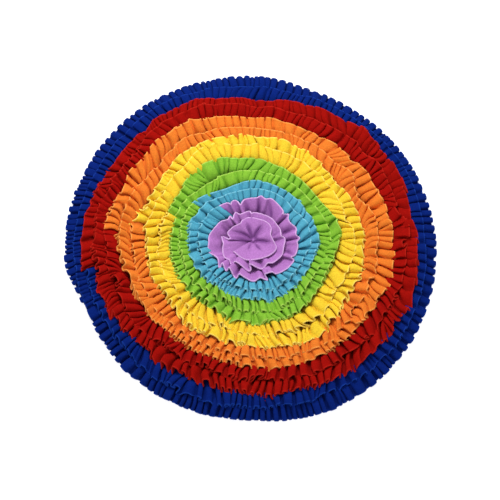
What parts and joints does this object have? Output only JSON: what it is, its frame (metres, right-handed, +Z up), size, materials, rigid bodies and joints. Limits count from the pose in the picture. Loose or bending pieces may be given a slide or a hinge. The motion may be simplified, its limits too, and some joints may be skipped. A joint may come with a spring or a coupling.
{
  "type": "snuffle mat",
  "caption": "Round pet snuffle mat of gathered fleece ruffles in rainbow colours, sewn as one spiral on a flat base cloth.",
  "frame": {"origin": "under the middle of the mat's outline, on the flat underside of the base cloth that lies on the floor", "axes": "+Z up out of the mat, towards the ruffles; +X to the right and +Y away from the camera in the picture"},
  "size_m": [0.4966, 0.4966, 0.0265],
  "materials": {
    "base": "plain felt-like cloth, matt",
    "fleece_purple": "soft napped fleece, matt",
    "fleece_light_blue": "soft napped fleece, matt",
    "fleece_green": "soft napped fleece, matt",
    "fleece_yellow": "soft napped fleece, matt",
    "fleece_orange": "soft napped fleece, matt",
    "fleece_red": "soft napped fleece, matt",
    "fleece_blue": "soft napped fleece, matt"
  },
  "bodies": {
    "root": {"base_cloth": "base", "ruffle_purple": "fleece_purple", "ruffle_light_blue": "fleece_light_blue", "ruffle_green": "fleece_green", "ruffle_yellow": "fleece_yellow", "ruffle_orange": "fleece_orange", "ruffle_red": "fleece_red", "ruffle_blue": "fleece_blue"}
  },
  "joints": []
}
